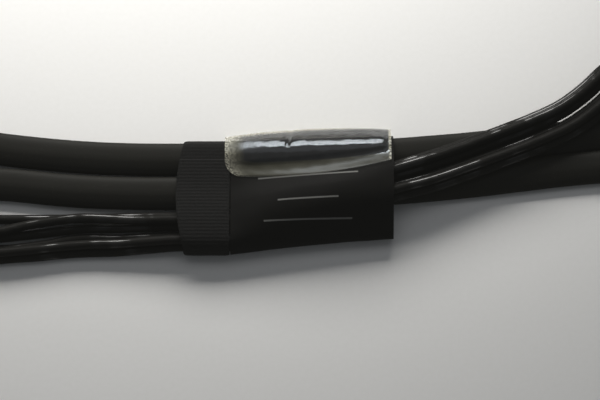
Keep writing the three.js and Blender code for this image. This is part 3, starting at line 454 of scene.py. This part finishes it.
def bent_sheet(name, rows, closed, thickness):
    """A flat grid bent to rows of points, each row round the bundle, and thickened inwards"""
    down, across = rows.shape[0] - 1, rows.shape[1] - 1
    bpy.ops.object.select_all(action="DESELECT")
    bpy.ops.mesh.primitive_grid_add(
        x_subdivisions=down, y_subdivisions=across, size=1, location=(0.5, 0.5, 0),
    )
    sheet = bpy.context.object
    sheet.name = name
    bpy.ops.object.transform_apply(location=True, rotation=True, scale=True)
    for vertex in sheet.data.vertices:
        vertex.co = rows[round(vertex.co.x * down), round(vertex.co.y * across)]
    if closed:
        bpy.ops.object.mode_set(mode="EDIT")
        bpy.ops.mesh.select_all(action="SELECT")
        bpy.ops.mesh.remove_doubles(threshold=1e-7)
        bpy.ops.object.mode_set(mode="OBJECT")
    wall = sheet.modifiers.new("wall", "SOLIDIFY")
    wall.thickness = thickness
    wall.offset = -1
    bpy.ops.object.modifier_apply(modifier=wall.name)
    bpy.ops.object.shade_smooth_by_angle(angle=radians(55))
    return sheet


RIBS = 72
PER_RIB = 8
RIB_DEPTH = 0.00005
TAPE_END = 0.0069
TAPE_STEP = 0.0002
BAND_ROWS = 42
band_rows = []
for share in np.linspace(0, 1, BAND_ROWS):
    ring, outward = ring_at(WRAP_STATIONS[0], RIBS * PER_RIB)
    middle = (ring[:, 0].max() + ring[:, 0].min()) / 2
    half = (ring[:, 0].max() - ring[:, 0].min()) / 2
    bow = BAND_BULGE * (1 - ((ring[:, 0] - middle) / half) ** 2) * (1 - share)
    x = BAND_START + BAND_BULGE - bow + share * (BAND_WIDTH - BAND_BULGE)
    turn = np.arange(RIBS * PER_RIB + 1) / PER_RIB
    rib = 0.5 - 0.5 * np.cos(2 * pi * turn)
    under = np.clip((ring[:, 0] - TAPE_END) / TAPE_STEP + 0.5, 0, 1) * (ring[:, 1] > 0.002)
    thinned = 1 - np.exp(-share / 0.035) - 0.8 * np.exp(-(1 - share) / 0.04)
    height = BAND_WALL + RIB_DEPTH * rib * (1 - 0.45 * under) - TAPE_STEP * under
    height += RIB_DEPTH * 0.3 * np.sin(share * 2 * pi * 15 + turn * pi)
    height = height * (0.45 + 0.55 * thinned)
    band_rows.append(np.column_stack([x, ring + outward * height[:, None]]))
band = bent_sheet("woven_band", np.array(band_rows), True, 0.0004)

weave = Finish("woven_tape", "woven_band", 0.72, Specular_IOR_Level=0.18)
threads = weave.node("ShaderNodeTexCoord", output="UV")
pick = (weave.axis("X", threads) * (2 * pi * 40)).sine()
ends = (weave.axis("Y", threads) * (2 * pi * RIBS * 4)).sine()
cloth = pick * ends
fuzz = weave.noise(2400, detail=3.0)
lint = weave.noise(1700, detail=2.0).above(0.7, 0.04)
greyed = (cloth * 0.18 + fuzz * 0.5 + lint * 0.4).clamped()
weave.feed("Base Color", weave.mix(greyed, (0.002, 0.0019, 0.0018, 1), (0.0085, 0.0083, 0.008, 1)))
weave.feed("Roughness", fuzz * 0.3 + 0.6)
weave.feed("Normal", weave.bump(cloth * 0.6 + fuzz, 0.00006, 0.8))
weave.put_on(band)
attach(band, "root")
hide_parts("ribbed_band")


# The label sleeve: the printed part of a wrap-round label of thin satin black film, wound round the bundle
# beside the band and glued to itself under its own clear tail. Its right end is open, and the wires leave
# through the top of it.
SLEEVE_START = -0.0121
SLEEVE_LENGTH = 0.0366
SLEEVE_WALL = 0.0004
SLEEVE_INSET = 0.00008
SLEEVE_ROWS = 74
SLEEVE_COLUMNS = 220
rows = []
for x in np.linspace(SLEEVE_START, SLEEVE_START + SLEEVE_LENGTH, SLEEVE_ROWS):
    ring, outward = ring_at(x, SLEEVE_COLUMNS)
    turn = np.linspace(0, 2 * pi, SLEEVE_COLUMNS + 1)
    ripple = np.sin(x * 620 + 2 * np.sin(turn * 2)) * np.sin(turn * 3 + x * 130) * 0.00003
    ripple += np.sin(x * 1500 + turn * 5) * np.sin(turn * 4 - x * 400) * 0.00001
    height = SLEEVE_WALL - SLEEVE_INSET + ripple
    rows.append(np.column_stack([np.full(SLEEVE_COLUMNS + 1, x), ring + outward * height[:, None]]))
sleeve = bent_sheet("printed_sleeve", np.array(rows), True, 0.00025)

satin = Finish("satin_film", "label", 0.4, Specular_IOR_Level=0.03)
haze = satin.noise(120, detail=4.0)
grain = satin.noise(1900, detail=2.0)
flecks = satin.noise(2500, detail=1.0).above(0.73, 0.02)
# Three plain write-on rules across the front, each as (middle x, y there, half length, half thickness)
rules = 0.0
for middle_x, y, half_length, half_thickness in (
    (0.0053, 0.0026, 0.0112, 0.00018),
    (0.0053, -0.0031, 0.0068, 0.00018),
    (0.0053, -0.0076, 0.0099, 0.00018),
):
    off = (satin.axis("Y") - satin.axis("X") * 0.04 - (y - middle_x * 0.04)).size()
    run = (satin.axis("X") - middle_x).size()
    top = satin.axis("Z").above(0.0025, 0.0002)
    rules = rules + (1 - off.above(half_thickness, 0.00008)) * (1 - run.above(half_length, 0.0001)) * top
greyed = (haze * 0.5 + flecks * 0.6).clamped()
ink = satin.mix(greyed, (0.006, 0.0058, 0.0055, 1), (0.0135, 0.0131, 0.0124, 1))
satin.feed("Base Color", satin.mix(rules * 0.75, ink, (0.2, 0.2, 0.19, 1)))
satin.feed("Roughness", haze * 0.2 + 0.42)
satin.feed("Normal", satin.bump(haze * 1.5 + grain * 0.25, 0.00005, 0.8))
satin.put_on(sleeve)
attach(sleeve, "root")
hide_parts("label_sleeve")


# The clear tail: the unprinted end of the same label, clear film that comes up from under the far edge and
# is glued down on the top along its free edge. Behind the glue it stands off the bundle in a loose fold
# with one crease, and its free corner beside the band is rounded.
FILM_OVERLAP = 0.0013
FILM_INSET = 0.0005
FILM_CORNER = 0.004
FILM_THICKNESS = 0.00014
FILM_OUTLINES = [
    [
        (0.0108, 0.00015), (0.0121, 0.0004), (0.0129, 0.0013),
        (0.013, 0.0026), (0.0124, 0.0038), (0.0111, 0.005),
        (0.0096, 0.0057), (0.0082, 0.006), (0.0064, 0.00565), (0.0045, 0.00535), (0.0027, 0.0056),
    ],
    [
        (0.0111, 0.00015), (0.0134, 0.0004), (0.0145, 0.0014),
        (0.0147, 0.0028), (0.0136, 0.0044), (0.0116, 0.0061),
        (0.0098, 0.00715), (0.0084, 0.0075), (0.0066, 0.00735), (0.0046, 0.00745), (0.0029, 0.00825),
    ],
    [
        (0.0113, 0.00015), (0.0134, 0.0004), (0.0143, 0.0014),
        (0.0145, 0.0028), (0.0139, 0.0044), (0.0125, 0.006),
        (0.0111, 0.0071), (0.0099, 0.0077), (0.0087, 0.0079), (0.0073, 0.00845), (0.0059, 0.00925),
    ],
]

FILM_ROWS = 110
FILM_COLUMNS = 120
LOOSE_LIFT = 0.00045
CREASE_DEPTH = 0.00042
film_start = SLEEVE_START - FILM_OVERLAP
film_length = SLEEVE_START + SLEEVE_LENGTH - FILM_INSET - film_start
rows = []
for share in np.linspace(0, 1, FILM_ROWS):
    x = film_start + share * film_length
    line, edge = even_steps(smooth_route(corners_at(FILM_OUTLINES, x)), 1e-5)
    marks = np.linspace(0, len(line) - 1, FILM_COLUMNS + 1)
    line = np.stack([np.interp(marks, np.arange(len(line)), line[:, i]) for i in (0, 1)], 1)[::-1]
    onward = np.gradient(line, axis=0)
    onward /= np.linalg.norm(onward, axis=1)[:, None]
    outward = np.stack([-onward[:, 1], onward[:, 0]], 1)
    left = np.minimum(np.linspace(0, edge, FILM_COLUMNS + 1), FILM_CORNER)
    cut = FILM_CORNER - np.sqrt(FILM_CORNER ** 2 - (FILM_CORNER - left) ** 2)
    turn = np.linspace(0, 1, FILM_COLUMNS + 1)
    crease = CREASE_DEPTH * np.exp(-((x + 0.0001 - 0.002 * turn) / 0.0005) ** 2)
    crease = crease * np.exp(-((turn - 0.5) / 0.22) ** 2)
    crinkle = 0.00003 * np.sin(x * 900 + turn * 9) * np.sin(turn * 14 + x * 350)
    crinkle += 0.00001 * np.sin(x * 2600 - turn * 21) * np.sin(turn * 37 + x * 900)
    near_band = 1 - min(share / 0.2, 1)
    near_edge = 1 - np.clip((turn - 0.15) / 0.1, 0, 1)
    loose = np.clip(1 - np.sqrt(near_band ** 2 + near_edge ** 2), 0, 1)
    loose = loose * (1 - np.clip((turn - 0.5) / 0.2, 0, 1)) * np.clip((1 - share) / 0.08, 0, 1)
    loose = LOOSE_LIFT * loose ** 2 * (3 - 2 * loose)
    lift = loose + (crinkle - crease) * np.clip(turn * 12, 0, 1)
    rows.append(np.column_stack([x + cut * (1 - share), line + outward * lift[:, None]]))
tail = bent_sheet("clear_tail", np.array(rows), False, FILM_THICKNESS)

clear = Finish(
    "clear_film", "clear_film", 0.12, IOR=1.5, Specular_IOR_Level=0.62, Specular_Tint=(0.82, 0.91, 1, 1),
)
cloud = clear.noise(260, detail=5.0)
grit = clear.noise(2600, detail=2.0).above(0.52, 0.1)
sheet_place = clear.node("ShaderNodeTexCoord", output="UV")
from_free_edge = clear.axis("Y", sheet_place)
from_band_end = clear.axis("X", sheet_place)
# Behind the free edge, where the film is glued down, an olive painted reflection of the warm room; pale
# speckled film at the band, at the right end and on the far fold
near_band = 1 - (from_band_end / 0.2).clamped()
near_edge = 1 - ((from_free_edge - 0.16 + from_band_end * 0.07) / 0.1).clamped()
loose = 1 - (near_band * near_band + near_edge * near_edge).root()
glued = 1 - loose.above(0.45, 0.3)
at_band = glued * (1 - from_band_end.above(0.05, 0.1))
speckled = (at_band + from_band_end.above(0.985, 0.012) + from_free_edge.above(0.66, 0.1)).clamped()
hazed = (glued + speckled).clamped()
# The olive is painted reflection: the warm room's light off the film behind its free edge, laid in as colour
olive_reflection_paint = clear.mix(cloud, (0.12, 0.113, 0.078, 1), (0.19, 0.18, 0.128, 1))
pale = clear.mix(cloud, (0.4, 0.38, 0.28, 1), (0.62, 0.6, 0.5, 1))
film_colour = clear.mix(glued, (0.034, 0.034, 0.034, 1), olive_reflection_paint)
clear.feed("Base Color", clear.mix(speckled, film_colour, pale))
# How much of the painted olive reflection covers the film behind its free edge
reflection_cover = glued * (1 - speckled) * (cloud * 0.1 + 0.18 - from_band_end * 0.1)
speckle_cover = speckled * (grit * 0.42 + 0.1)
clear.feed("Alpha", (reflection_cover + speckle_cover + (1 - hazed) * 0.6).clamped())
dulled = 1 - from_band_end.above(0.2, 0.2)
clear.feed("Roughness", cloud * 0.1 + (hazed * 0.25 + dulled * 0.16) + 0.06)
crumpled = clear.noise(330, detail=2.0) * from_band_end.above(0.92, 0.05) * 16
clear.feed("Normal", clear.bump(cloud * 2.0 + clear.noise(1400) * 0.4 + crumpled, 0.00006, 0.4))
clear.put_on(tail)
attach(tail, "root")
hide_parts("clear_label_tail")


# The plugs: bodies and a housing of hard black nylon with a fine moulded grain, softer caps and reliefs
# moulded over the cable ends, gold plated contacts pressed into the slots, and spring steel latches clipped
# to the board plugs. Their solids have the real form, so only their surfaces are made here.
nylon = Finish("hard_nylon", "plug_plastic", 0.42)
grained = nylon.noise(5200, detail=2.0)
rubbed = nylon.noise(140, detail=4.0)
nylon.feed("Base Color", nylon.mix(rubbed, (0.008, 0.008, 0.0085, 1), (0.02, 0.02, 0.021, 1)))
nylon.feed("Roughness", rubbed * 0.3 + 0.3)
nylon.feed("Normal", nylon.bump(grained, 0.00004, 0.5))
moulding = Finish("soft_moulding", "plug_moulding", 0.6)
matt = moulding.noise(3600, detail=3.0)
scuffs = moulding.noise(200, detail=5.0, place=moulding.along(0.3, 1, 1))
moulding.feed("Base Color", moulding.mix(scuffs, (0.012, 0.012, 0.0125, 1), (0.032, 0.032, 0.033, 1)))
moulding.feed("Roughness", scuffs * 0.25 + 0.48)
moulding.feed("Normal", moulding.bump(matt, 0.00005, 0.6))
gold = Finish("gold_plate", "contact_metal", 0.25, Metallic=1.0)
tarnish = gold.noise(900, detail=3.0)
gold.feed("Base Color", gold.mix(tarnish, (0.83, 0.56, 0.18, 1), (0.6, 0.36, 0.1, 1)))
gold.feed("Roughness", tarnish * 0.25 + 0.14)
steel = Finish("spring_steel", "spring_steel", 0.25, Metallic=1.0)
rolled = steel.noise(900, detail=3.0, place=steel.along(0.08, 1, 1))
steel.feed("Base Color", steel.mix(rolled, (0.3, 0.3, 0.31, 1), (0.46, 0.46, 0.47, 1)))
steel.feed("Roughness", rolled * 0.25 + 0.38)
steel.feed("Normal", steel.bump(rolled, 0.00002, 0.4))
for name, node in nodes.items():
    if name.endswith(("body", "housing")):
        nylon.put_on(node)
    elif name.endswith(("cap", "relief")):
        moulding.put_on(node)
    elif name.endswith("latch"):
        steel.put_on(node)
    elif "contacts" in name or "socket" in name:
        gold.put_on(node)


# The table: one sheet of white paper, much larger than the harness.
bpy.ops.object.select_all(action="DESELECT")
bpy.ops.mesh.primitive_plane_add(size=4, location=(0, 0, 0))
table = bpy.context.object
table.name = "paper_table"
paper = Finish("white_paper", None, 0.7)
fibre = paper.noise(900, detail=4.0)
paper.feed("Base Color", paper.mix(fibre, (0.8, 0.795, 0.78, 1), (0.84, 0.835, 0.825, 1)))
table.data.materials.append(paper.material)


# The light: a low window close behind the harness, which gives the film and the wires their thin gleams and
# puts the shadows on the near side, a dim ceiling panel further up, and the faint light of the room.
def soft_window(name, place, aim, spread, width, height, power, colour):
    bpy.ops.object.light_add(type="AREA", location=place)
    light = bpy.context.object
    light.name = name
    light.visible_camera = False
    light.rotation_euler = (Vector(place) - Vector(aim)).to_track_quat("Z", "Y").to_euler()
    light.data.spread = radians(spread)
    light.data.shape = "RECTANGLE"
    light.data.size = width
    light.data.size_y = height
    light.data.energy = power
    light.data.color = colour


soft_window("window", (-0.04, 0.225, 0.125), (-0.035, 0.09, 0), 90, 0.26, 0.1, 0.348, (1, 0.985, 0.95))
soft_window("ceiling", (0, 0.3, 0.62), (0, 0, 0), 180, 0.9, 0.36, 0.42, (0.97, 0.98, 1))
world = bpy.data.worlds.new("room")
bpy.context.scene.world = world
world.use_nodes = True
world.node_tree.nodes["Background"].inputs["Color"].default_value = (0.9, 0.95, 1, 1)
world.node_tree.nodes["Background"].inputs["Strength"].default_value = 0.1
# The camera's own faint veil of stray light, which lifts the deepest blacks a little
shown = bpy.context.scene.view_settings
shown.view_transform = "Standard"
shown.use_curve_mapping = True
shown.curve_mapping.black_level = (-0.005, -0.005, -0.0045)
shown.curve_mapping.update()
